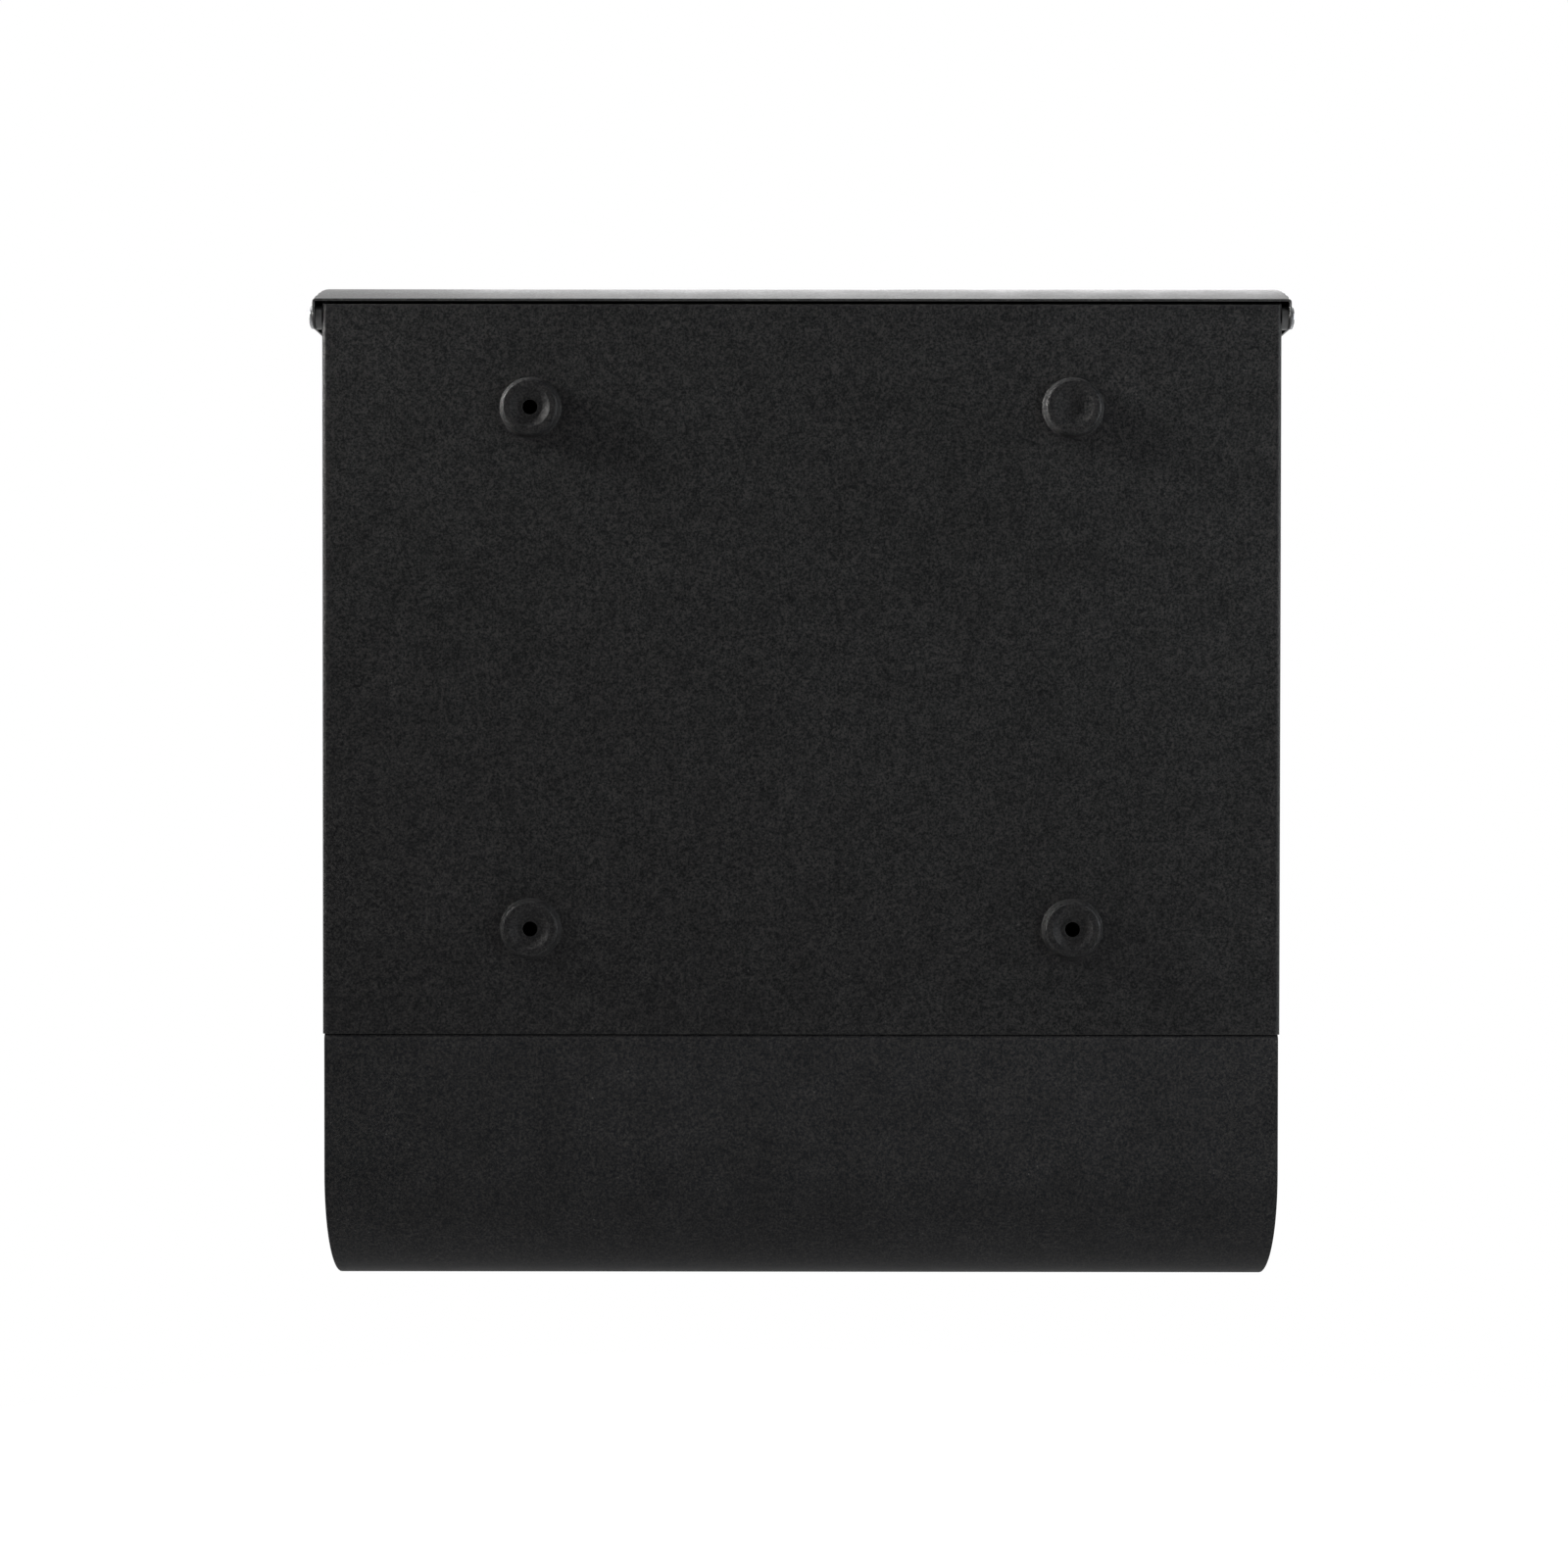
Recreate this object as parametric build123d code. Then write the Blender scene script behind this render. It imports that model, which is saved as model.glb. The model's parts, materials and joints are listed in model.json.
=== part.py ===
from build123d import *
import math
import os

# Wall mounted letterbox of folded steel sheet: an arched lid over the mail slot, a drop-down
# door with a cam lock, and a rolled newspaper holder below.
# Millimetres. X runs across the box, +Y points at the wall and +Z is up.
# The origin is midway between the two lower screw holes, in the middle of the pierced sheet.

# Sheet metal
sheet = 0.8                   # thickness of every steel sheet
bend = 2.0                    # outside radius of the bends
rivet_slack = 0.05            # radial clearance of fasteners in their holes
past = 1.0                    # how far a cut runs beyond the face it opens
near = 0.01                   # how close counts as the same place when edges are picked

# Wall fixing
screw_pitch = 205.0           # between the left and right bosses
screw_rise = 197.0            # between the lower and upper bosses
screw_hole = 5.7              # diameter of the pierced holes
boss_height = 3.6             # stand-off from the wall
boss_diameter = 23.2          # at the foot of the boss
boss_flank = 1.3              # width of the steep flank
boss_crest = 2.7              # width of the flat ring that meets the wall
boss_bevel = 0.5              # between the flank and the flat ring
dish_depth = 1.5              # depth of the dished centre at the hole
screw_seat = 1.7              # width of the flat ring round the hole

# Box
body_width = 363.0
body_depth = 92.5             # back face to the face of the front flanges
below_screws = 40.0           # lower screws to the bottom edge
front_flange = 14.0           # width of the return flanges at the front

# Lid
lid_side_gap = 2.7            # between the box sides and the lid's cheeks
lid_corner = 1.2              # outside radius between the lid's top and its cheeks
lid_front_overhang = 8.9      # front lip ahead of the front flanges
above_screws = 41.1           # upper screws to the lid's rear edge
arch_radius = 123.0
nose_radius = 12.0            # between the arch and the front lip
lip_bottom_gap = 2.0          # front lip above the door's top edge
lip_hem = 5.0                 # edge turned in along the bottom of the front lip
lid_edge_reach = 0.1          # rear edge beyond the back face
lid_gap = 1.2                 # box edges below the underside of the lid
pivot_setback = 5.0           # lid's rear edge to its pivot axis
pivot_drop = 6.3              # lid's rear edge down to its pivot axis
ear_drop = 4.5                # pivot axis down to the lower edge of the cheeks
cheek_level = 38.0            # length of the level stretch behind the slope of the cheeks
cheek_slope = 46.0            # length of the sloping stretch

# Lid pivots
pivot_bolt = 3.0
pivot_sleeve = 5.0
pivot_collar = 9.0
pivot_head = 8.8
pivot_head_height = 1.6
bolt_end = 1.0                # bolt beyond its nut
end_play = 0.1                # beside each face that turns
running_slack = 0.05          # radial clearance of turning parts

# Front rail
rail_height = 30.0
rail_overlap = 18.0           # door's top edge above the rail's bottom edge
rail_top_flange = 12.0
rail_bottom_flange = 7.0

# Door
door_top_drop = 33.7          # lid's rear edge level down to the door's top edge
door_side_gap = 1.5           # door flanges outside the box sides
door_flange = 14.0
door_skirt = 7.0              # door's bottom edge below its pivot axis
door_pivot_inset = 5.0        # from the box's front face and from its bottom edge
swing_clearance = 0.35        # door's inner face past the corner that it swings round
door_lip_clearance = 0.6
door_pivot = 4.0
door_head = 8.0
door_head_height = 1.8
door_tail = 6.0
door_tail_height = 1.6

# Windows
window_count = 4
window_pitch = 46.0
window_width = 12.0
window_length = 44.0
window_rise = 70.0            # window centres above the lower screws
pane_thickness = 1.5
pane_margin = 14.0            # pane beyond the outermost slots
pane_rivet_inset = 5.6        # rivets from the edges of the pane

# Cam lock
lock_drop = 34.0              # door's top edge down to the lock axis
barrel = 16.0
barrel_flats = 13.5
barrel_length = 14.0          # behind the door's outer face
lock_flange = 22.0
lock_flange_height = 2.0
lock_flange_edge = 0.6        # chamfer round the front of the flange
lock_nut_flats = 20.0
lock_nut_height = 3.0
plug = 12.0
plug_recess = 0.3
keyway_width = 1.4
keyway_height = 7.5
keyway_depth = 9.0
drive_square = 7.0            # square of the plug that the cam sits on
cam_screw_size = 3.2
cam_screw_head = 10.5
cam_screw_depth = 5.0         # thread in the plug
cam_thickness = 2.0
cam_hub = 15.0
cam_width = 12.0
cam_reach = 27.0
cover_rise = 14.0             # cover's rivet above the lock axis
cover_ear = 8.0
cover_thickness = 1.0
cover_edge = 0.4              # chamfer round the front of the cover
cover_margin = 1.5            # cover beyond the plug
cover_rivet = 2.5
cover_rivet_head = 5.6
cover_slack = 0.1

# Newspaper holder
holder_inset = 0.8            # each end inside the box side
holder_back = 52.8            # straight back above the roll's centre line
holder_front_gap = 0.5        # front of the roll behind the box front
roll_turn = 212.0             # degrees of sheet round the roll
roll_curl = 2.4               # radius of the curled front edge
curl_turn = 190.0
holder_flange = 34.0

# Floor
floor_flange = 12.0
corner_notch = 6.0            # square notch at each corner of the folded floor

# Fasteners
rivet = 3.2
rivet_head = 6.5
rivet_head_height = 1.0
rivet_tail = 5.1
rivet_tail_height = 1.2
rail_rivet_edge = 7.0         # rivets from the top and bottom of the rail
holder_screw = 4.0
holder_screw_pitch = 120.0
m3_nut_flats = 5.5
m3_nut_height = 2.4
m4_nut_flats = 7.0
m4_nut_height = 3.2
m4_head = 7.6
m4_head_height = 2.2
screw_end = 1.0               # screw beyond its nut

# Bumpers
bumper_gap = 0.3              # between each bumper and the part that closes on it
clip_wall = 1.0
clip_depth = 6.0
clip_length = 22.0
clip_setback = 18.5           # middle of the clip behind the box front
door_dot = 8.4

# Places worked out from the sizes above
half_body = body_width / 2
inner_half = half_body - sheet
half_lid = half_body + lid_side_gap + sheet
wall_y = dish_depth + sheet / 2
back_y = wall_y - boss_height
inner_back_y = back_y - sheet
front_y = back_y - body_depth
bottom_z = -below_screws
lid_edge_z = screw_rise + above_screws
lid_edge_y = back_y + lid_edge_reach
lid_front_y = front_y - lid_front_overhang
pivot_y = lid_edge_y - pivot_setback
pivot_z = lid_edge_z - pivot_drop
arch_y = (lid_edge_y + lid_front_y) / 2
arch_z = lid_edge_z - math.sqrt(arch_radius ** 2 - (lid_edge_y - arch_y) ** 2)
door_top_z = lid_edge_z - door_top_drop
lip_bottom_z = door_top_z + lip_bottom_gap
door_pivot_y = front_y + door_pivot_inset
door_pivot_z = bottom_z + door_pivot_inset
door_reach = math.hypot(door_pivot_inset, door_pivot_inset) + swing_clearance + sheet
door_face_y = door_pivot_y - door_reach
door_inner_y = door_face_y + sheet
door_bottom_z = door_pivot_z - door_skirt
half_door = half_body + door_side_gap + sheet
rail_bottom_z = door_top_z - rail_overlap
rail_top_z = rail_bottom_z + rail_height
lock_z = door_top_z - lock_drop
barrel_end_y = door_face_y + barrel_length
roll_radius = (body_depth - holder_front_gap) / 2
roll_z = bottom_z - holder_back
holder_width = body_width - 2 * holder_inset
holder_screw_y = inner_back_y - holder_flange / 2


def along_x(radius, x_low, x_high, y, z):
    """A cylinder whose axis runs along X."""
    middle = (x_low + x_high) / 2
    return Pos(middle, y, z) * Rot(0, 90, 0) * Cylinder(radius, x_high - x_low)


def along_y(radius, y_low, y_high, x, z):
    """A cylinder whose axis runs along Y."""
    middle = (y_low + y_high) / 2
    return Pos(x, middle, z) * Rot(90, 0, 0) * Cylinder(radius, y_high - y_low)


def block(x_span, y_span, z_span):
    """A box from its low and high coordinates."""
    size = [span[1] - span[0] for span in (x_span, y_span, z_span)]
    middle = [(span[1] + span[0]) / 2 for span in (x_span, y_span, z_span)]
    return Pos(*middle) * Box(*size)


def dome_head(radius, height):
    """A shallow dome that stands on the XY plane."""
    ball = (radius ** 2 + height ** 2) / (2 * height)
    cap = Pos(0, 0, height - ball) * Sphere(ball)
    return cap & Pos(0, 0, height / 2) * Cylinder(radius, height)


def dome_rivet(radius, head_radius, head_height, grip, tail_radius, tail_height):
    """A set rivet: the head stands on the XY plane, the grip runs down from it to the formed tail."""
    shank = Pos(0, 0, -grip / 2) * Cylinder(radius, grip)
    tail = Pos(0, 0, -grip) * Rot(180, 0, 0) * dome_head(tail_radius, tail_height)
    return dome_head(head_radius, head_height) + shank + tail


def sheet_rivet(grip):
    """The rivet that joins sheets."""
    return dome_rivet(rivet / 2, rivet_head / 2, rivet_head_height, grip, rivet_tail / 2, rivet_tail_height)


def hex_nut(flats, bore, height):
    """A hexagon nut that stands on the XY plane."""
    blank = RegularPolygon(flats / 2, 6, major_radius=False) - Circle(bore / 2)
    return extrude(blank, height)


def lid_section(inset):
    """Side section of the lid, moved inwards by inset and open to the rear and below."""
    reach = 2 * lid_front_overhang
    low_z = lip_bottom_z - reach
    high_z = arch_z + arch_radius
    disc = Pos(arch_y, arch_z) * Circle(arch_radius - inset)
    front = lid_front_y + inset
    span = lid_edge_y + reach - front
    field = Pos(front + span / 2, (low_z + high_z) / 2) * Rectangle(span, high_z - low_z)
    section = disc & field
    nose = section.vertices().group_by(Axis.X)[0].sort_by(Axis.Y)[-1]
    return fillet(nose, nose_radius - inset)


def lid_form(inset):
    """The lid as a solid block, moved inwards by inset."""
    half = half_lid - inset
    form = extrude(Plane.YZ * lid_section(inset), half, both=True)
    low = form.bounding_box().min.Z
    back = form.bounding_box().max.Y
    edges = form.edges().filter_by(lambda e: abs(abs(e.center().X) - half) < near)
    edges = edges.filter_by(lambda e: e.center().Z > low + near and e.center().Y < back - near)
    return fillet(edges, lid_corner - inset)


def cheek_outline():
    """Side outline of the lid: rear edge, pivot ears, level and sloping lower edges, front lip."""
    level_z = pivot_z - ear_drop
    slope_y = lid_edge_y - cheek_level
    foot_y = slope_y - cheek_slope
    top = arch_z + arch_radius + past
    ahead = lid_front_y - past
    points = [
        (lid_edge_y, top),
        (lid_edge_y, level_z),
        (slope_y, level_z),
        (foot_y, lip_bottom_z),
        (ahead, lip_bottom_z),
        (ahead, top),
    ]
    outline = make_face(Polyline(*points, close=True))
    corners = outline.vertices()
    ear = corners.sort_by_distance((lid_edge_y, level_z))[0]
    outline = fillet(ear, ear_drop)
    slope = [outline.vertices().sort_by_distance(p)[0] for p in (points[2], points[3])]
    return fillet(slope, nose_radius)


def lid():
    skin = lid_form(0) - lid_form(sheet)
    skin = skin & extrude(Plane.YZ * cheek_outline(), half_lid + past, both=True)
    hem = block((-half_lid, half_lid), (lid_front_y, lid_front_y + lip_hem), (lip_bottom_z, lip_bottom_z + sheet))
    skin += lid_form(0) & hem
    hole = pivot_sleeve / 2 + running_slack
    return skin - along_x(hole, -half_lid - past, half_lid + past, pivot_y, pivot_z)


def boss(pierced):
    """Pressed stand-off boss on the XY plane, with its foot at zero and its crest upwards."""
    foot = boss_diameter / 2
    crest_out = foot - boss_flank
    crest_in = crest_out - boss_crest
    centre = screw_hole / 2 if pierced else 0
    low = boss_height - dish_depth
    ring = [(foot, 0), (crest_out, boss_height), (crest_in, boss_height)]
    dish = [(centre + screw_seat, low), (centre, low)]
    wall_side = Polyline((foot + bend, 0), *ring, *dish)
    skin = make_face(wall_side.offset_2d(sheet, kind=Kind.INTERSECTION, side=Side.LEFT))
    crest = skin.vertices().sort_by_distance((crest_out, boss_height))[0]
    return revolve(Plane.XZ * chamfer(crest, boss_bevel), Axis.Z)


def boss_places():
    """Each boss: across, up, and whether it is pierced. One upper boss is left blank."""
    half = screw_pitch / 2
    return [
        (half, 0, True),
        (-half, 0, True),
        (half, screw_rise, True),
        (-half, screw_rise, False),
    ]


def box_shell():
    middle_y = (back_y + front_y) / 2
    outer = RectangleRounded(body_width, body_depth, bend)
    inner = RectangleRounded(body_width - 2 * sheet, body_depth - 2 * sheet, bend - sheet)
    gap = Pos(0, -body_depth / 2) * Rectangle(body_width - 2 * front_flange, 4 * sheet)
    top = arch_z + arch_radius
    shell = Pos(0, middle_y, bottom_z) * extrude(outer - inner - gap, top - bottom_z)
    under_lid = extrude(Plane.YZ * lid_section(sheet + lid_gap), half_lid, both=True)
    upper_z = under_lid.bounding_box().min.Z
    rest = block((-half_lid, half_lid), (lid_front_y, wall_y), (bottom_z - past, upper_z))
    shell = shell & (under_lid + rest)
    rim = boss_diameter / 2 + bend
    for x, z, pierced in boss_places():
        shell -= along_y(rim, inner_back_y, back_y, x, z)
        shell += Pos(x, back_y, z) * Rot(-90, 0, 0) * boss(pierced)
    for side in (-1, 1):
        ends = sorted((side * (half_body + past), side * (inner_half - past)))
        shell -= along_x(pivot_bolt / 2 + rivet_slack, *ends, pivot_y, pivot_z)
        shell -= along_x(door_pivot / 2 + rivet_slack, *ends, door_pivot_y, door_pivot_z)
        for y, z in floor_rivet_places():
            shell -= along_x(rivet / 2 + rivet_slack, *ends, y, z)
        for z in rail_rivet_heights():
            x = side * (half_body - front_flange / 2)
            shell -= along_y(rivet / 2 + rivet_slack, front_y - past, front_y + sheet + past, x, z)
    return shell


def floor_rivet_places():
    """Rivets through each box side into the floor's upturned flanges."""
    third = body_depth / 3
    z = bottom_z + floor_flange - rivet_head / 2 - sheet
    return [(back_y - third, z), (back_y - 2 * third, z)]


def rail_rivet_heights():
    return (rail_bottom_z + rail_rivet_edge, rail_top_z - rail_rivet_edge)


def box_floor():
    front = front_y + sheet
    back = inner_back_y
    rim_z = bottom_z + floor_flange
    pan = block((-inner_half, inner_half), (front, back), (bottom_z, rim_z))
    pan = fillet(pan.edges().group_by(Axis.Z)[0], bend)
    well_x = inner_half - sheet
    well = block((-well_x, well_x), (front + sheet, back - sheet), (bottom_z + sheet, rim_z + past))
    pan -= fillet(well.edges().group_by(Axis.Z)[0], bend - sheet)
    full_height = (bottom_z - past, rim_z + past)
    pivot_room = (front, door_pivot_y + door_tail / 2 + corner_notch)
    for side in (-1, 1):
        corner = side * inner_half
        ends = sorted((corner + side * past, corner - side * corner_notch))
        pan -= block(ends, (front - past, front + corner_notch), full_height)
        pan -= block(ends, (back - corner_notch, back + past), full_height)
        pan -= block(ends, pivot_room, (bottom_z + bend, rim_z + past))
        for y, z in floor_rivet_places():
            hole_ends = sorted((side * half_body, corner - side * 2 * sheet))
            pan -= along_x(rivet / 2 + rivet_slack, *hole_ends, y, z)
    for x in holder_screw_places():
        pan -= Pos(x, holder_screw_y, bottom_z) * Cylinder(holder_screw / 2 + rivet_slack, 4 * sheet)
    return pan


def floor_rivets():
    rivets = []
    for side in (-1, 1):
        for y, z in floor_rivet_places():
            one = sheet_rivet(2 * sheet)
            rivets.append(Pos(side * half_body, y, z) * Rot(0, side * 90, 0) * one)
    return rivets


def front_rail():
    """Channel behind the front flanges: web, top flange with a turned-down edge, bottom flange."""
    face = front_y + sheet
    path = FilletPolyline(
        (face + rail_top_flange, rail_top_z - rail_bottom_flange),
        (face + rail_top_flange, rail_top_z),
        (face, rail_top_z),
        (face, rail_bottom_z),
        (face + rail_bottom_flange, rail_bottom_z),
        radius=bend,
    )
    section = make_face(path.offset_2d(sheet, side=Side.LEFT))
    rail = extrude(Plane.YZ * section, half_body - bend - end_play, both=True)
    for side in (-1, 1):
        x = side * (half_body - front_flange / 2)
        for z in rail_rivet_heights():
            rail -= along_y(rivet / 2 + rivet_slack, face - past, face + sheet + past, x, z)
    return rail


def rail_rivets():
    rivets = []
    for side in (-1, 1):
        for z in rail_rivet_heights():
            one = sheet_rivet(2 * sheet)
            rivets.append(Pos(side * (half_body - front_flange / 2), front_y, z) * Rot(90, 0, 0) * one)
    return rivets


def lid_pivot_bushes():
    """Flanged bushes: the collar fills the gap beside the box, the sleeve carries the cheek."""
    bushes = []
    collar_end = half_lid - sheet - end_play
    sleeve_end = half_lid + end_play
    for side in (-1, 1):
        collar = along_x(pivot_collar / 2, half_body, collar_end, pivot_y, pivot_z)
        sleeve = along_x(pivot_sleeve / 2, collar_end, sleeve_end, pivot_y, pivot_z)
        bore = along_x(pivot_bolt / 2 + rivet_slack, half_body, sleeve_end, pivot_y, pivot_z)
        bush = collar + sleeve - bore
        bushes.append(bush if side > 0 else mirror(bush, Plane.YZ))
    return bushes


def lid_pivot_bolts():
    bolts = []
    seat = half_lid + end_play
    end = inner_half - m3_nut_height - bolt_end
    for side in (-1, 1):
        head = Pos(seat, pivot_y, pivot_z) * Rot(0, 90, 0) * dome_head(pivot_head / 2, pivot_head_height)
        bolt = head + along_x(pivot_bolt / 2, end, seat, pivot_y, pivot_z)
        bolts.append(bolt if side > 0 else mirror(bolt, Plane.YZ))
    return bolts


def lid_pivot_nuts():
    nuts = []
    for side in (-1, 1):
        nut = hex_nut(m3_nut_flats, pivot_bolt + 2 * rivet_slack, m3_nut_height)
        nuts.append(Pos(side * inner_half, pivot_y, pivot_z) * Rot(0, -side * 90, 0) * nut)
    return nuts


def lid_bumpers():
    """Rubber clips over the curved side edges, just under the closed lid."""
    crown = lid_section(sheet + bumper_gap) - lid_section(sheet + lid_gap + clip_depth)
    window = Pos(front_y + clip_setback, arch_z + arch_radius) * Rectangle(clip_length, 8 * clip_depth)
    blank = extrude(Plane.YZ * (crown & window), sheet / 2 + clip_wall, both=True)
    slot = extrude(Plane.YZ * lid_section(sheet + lid_gap), sheet / 2, both=True)
    clips = []
    for side in (-1, 1):
        clips.append(Pos(side * (half_body - sheet / 2), 0, 0) * (blank - slot))
    return clips


def window_centres():
    first = -(window_count - 1) / 2
    return [(first + i) * window_pitch for i in range(window_count)]


def pane_half_sizes():
    half_x = (window_count - 1) / 2 * window_pitch + window_width / 2 + pane_margin
    return half_x, window_length / 2 + pane_margin


def pane_rivet_places():
    half_x, half_z = pane_half_sizes()
    reach_x = half_x - pane_rivet_inset
    reach_z = half_z - pane_rivet_inset
    return [(x * reach_x, window_rise + z * reach_z) for x in (-1, 1) for z in (-1, 1)]


def door_block(inset, beyond):
    """Block with rounded front and top edges; beyond lengthens it downwards and backwards."""
    half = half_door - inset
    top = door_top_z - inset
    front = door_face_y + inset
    back = door_face_y + door_flange + beyond
    solid = block((-half, half), (front, back), (door_bottom_z - beyond, top))
    round_edges = solid.edges().filter_by(Axis.Z).group_by(Axis.Y)[0]
    round_edges += solid.edges().filter_by(Axis.X).group_by(Axis.Z)[-1].group_by(Axis.Y)[0]
    round_edges += solid.edges().filter_by(Axis.Y).group_by(Axis.Z)[-1]
    return fillet(round_edges, bend - inset)


def door():
    pan = door_block(0, 0) - door_block(sheet, past)
    lip_end = front_y - door_lip_clearance
    behind = (lip_end, door_face_y + door_flange + past)
    half = half_door - sheet
    pan -= block((-half, half), behind, (door_top_z - bend - sheet, door_top_z + past))
    for x in window_centres():
        slot = SlotOverall(window_length, window_width, rotation=90)
        cut = extrude(Plane.XZ * slot, 2 * sheet, both=True)
        pan -= Pos(x, door_face_y, window_rise) * cut
    barrel_hole = Circle(barrel / 2 + rivet_slack) & Rectangle(barrel_flats + 2 * rivet_slack, 2 * barrel)
    pan -= Pos(0, door_face_y, lock_z) * extrude(Plane.XZ * barrel_hole, 2 * sheet, both=True)
    for x, z in pane_rivet_places():
        pan -= along_y(rivet / 2 + rivet_slack, door_face_y - past, door_inner_y + past, x, z)
    hole = door_pivot / 2 + running_slack
    return pan - along_x(hole, -half_door - past, half_door + past, door_pivot_y, door_pivot_z)


def window_pane():
    half_x, half_z = pane_half_sizes()
    plate = RectangleRounded(2 * half_x, 2 * half_z, pane_rivet_inset)
    pane = Plane.XZ * extrude(plate, -pane_thickness)
    pane = Pos(0, door_inner_y, window_rise) * pane
    for x, z in pane_rivet_places():
        pane -= along_y(rivet / 2 + rivet_slack, door_inner_y, door_inner_y + pane_thickness, x, z)
    return pane


def pane_rivets():
    grip = sheet + pane_thickness
    rivets = []
    for x, z in pane_rivet_places():
        one = sheet_rivet(grip)
        rivets.append(Pos(x, door_face_y, z) * Rot(90, 0, 0) * one)
    return rivets


def door_pivot_rivets():
    grip = half_door + end_play - inner_half
    rivets = []
    for side in (-1, 1):
        one = dome_rivet(door_pivot / 2, door_head / 2, door_head_height, grip, door_tail / 2, door_tail_height)
        rivets.append(Pos(side * (half_door + end_play), door_pivot_y, door_pivot_z) * Rot(0, side * 90, 0) * one)
    return rivets


def door_pivot_washers():
    washers = []
    end = half_body + door_side_gap - end_play
    for side in (-1, 1):
        disc = along_x(pivot_collar / 2, half_body, end, door_pivot_y, door_pivot_z)
        disc -= along_x(door_pivot / 2 + rivet_slack, half_body, end, door_pivot_y, door_pivot_z)
        washers.append(disc if side > 0 else mirror(disc, Plane.YZ))
    return washers


def door_bumpers():
    """Rubber dots on the front flanges, just behind the closed door."""
    dots = []
    tall = front_y - door_inner_y - bumper_gap
    for side in (-1, 1):
        x = side * (half_body - front_flange / 2)
        dots.append(Pos(x, front_y, lock_z) * Rot(90, 0, 0) * dome_head(door_dot / 2, tall))
    return dots


def lock_body():
    disc = Circle(lock_flange / 2)
    ear = Pos(0, cover_rise) * Circle(cover_ear / 2)
    flange = make_hull((disc + ear).edges())
    flange -= Pos(0, cover_rise) * Circle(cover_rivet / 2 + cover_slack)
    plate = extrude(Plane.XZ * flange, lock_flange_height)
    rim = plate.faces().sort_by(Axis.Y)[0].outer_wire().edges()
    plate = chamfer(rim, lock_flange_edge)
    round_barrel = Circle(barrel / 2) & Rectangle(barrel_flats, 2 * barrel)
    stem = extrude(Plane.XZ * round_barrel, -barrel_length)
    body = plate + stem
    body -= along_y(plug / 2 + running_slack, -lock_flange_height - past, barrel_length + past, 0, 0)
    return Pos(0, door_face_y, lock_z) * body


def lock_nut():
    nut = hex_nut(lock_nut_flats, barrel + 2 * rivet_slack, lock_nut_height)
    return Pos(0, door_inner_y, lock_z) * Rot(-90, 0, 0) * nut


def lock_plug():
    face = door_face_y - lock_flange_height + plug_recess
    turned = along_y(plug / 2, face, barrel_end_y, 0, lock_z)
    half = drive_square / 2
    shank_end = barrel_end_y + cam_thickness
    shank = block((-half, half), (barrel_end_y, shank_end), (lock_z - half, lock_z + half))
    key = keyway_width / 2
    tall = keyway_height / 2
    keyway = block((-key, key), (face - past, face + keyway_depth), (lock_z - tall, lock_z + tall))
    return turned + shank - keyway - cam_screw_hole()


def cam_screw_hole():
    """The screw's hole, a little deeper than the screw."""
    start = barrel_end_y - cam_screw_depth - past
    return along_y(cam_screw_size / 2 + rivet_slack, start, barrel_end_y + 2 * cam_thickness, 0, lock_z)


def lock_cam():
    """Flat cam that points to -X when the lock is open."""
    hub = Circle(cam_hub / 2)
    tip = Pos(-cam_reach + cam_width / 2, 0) * Circle(cam_width / 2)
    arm = Pos(-(cam_reach - cam_width / 2) / 2, 0) * Rectangle(cam_reach - cam_width / 2, cam_width)
    outline = hub + arm + tip
    outline -= Rectangle(drive_square + 2 * rivet_slack, drive_square + 2 * rivet_slack)
    plate = extrude(Plane.XZ * outline, -cam_thickness)
    return Pos(0, barrel_end_y + rivet_slack, lock_z) * plate


def cam_screw():
    seat = barrel_end_y + rivet_slack + cam_thickness
    shank = along_y(cam_screw_size / 2, barrel_end_y - cam_screw_depth, seat, 0, lock_z)
    head = Pos(0, seat, lock_z) * Rot(-90, 0, 0) * dome_head(cam_screw_head / 2, m4_head_height)
    return shank + head


def lock_cover():
    """Swinging cover over the keyhole, hung from its rivet."""
    shield = Circle(plug / 2 + cover_margin)
    ear = Pos(0, cover_rise) * Circle(cover_ear / 2)
    outline = make_hull((shield + ear).edges())
    outline -= Pos(0, cover_rise) * Circle(cover_rivet / 2 + cover_slack)
    plate = extrude(Plane.XZ * outline, cover_thickness)
    rim = plate.faces().sort_by(Axis.Y)[0].outer_wire().edges()
    plate = chamfer(rim, cover_edge)
    return Pos(0, door_face_y - lock_flange_height - cover_slack, lock_z) * plate


def lock_cover_rivet():
    grip = lock_flange_height + cover_thickness + 2 * cover_slack
    front = door_face_y - grip
    head = dome_head(cover_rivet_head / 2, cover_thickness)
    shank = Pos(0, 0, -grip / 2) * Cylinder(cover_rivet / 2, grip)
    return Pos(0, front, lock_z + cover_rise) * Rot(90, 0, 0) * (head + shank)


def newspaper_holder():
    """One bent sheet: flange under the floor, straight back, roll and curled front edge."""
    with BuildPart() as holder:
        with BuildSketch(Plane.YZ):
            with BuildLine():
                top = FilletPolyline(
                    (back_y - holder_flange, bottom_z),
                    (back_y, bottom_z),
                    (back_y, roll_z),
                    radius=bend,
                )
                roll = JernArc(top @ 1, (0, -1), roll_radius, -roll_turn)
                JernArc(roll @ 1, roll % 1, roll_curl, curl_turn)
                offset(amount=sheet, side=Side.RIGHT)
            make_face()
        extrude(amount=holder_width / 2, both=True)
    sheet_part = holder.part
    for x in holder_screw_places():
        hole = Cylinder(holder_screw / 2 + rivet_slack, 4 * sheet)
        sheet_part -= Pos(x, holder_screw_y, bottom_z - sheet / 2) * hole
    return sheet_part


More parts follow.
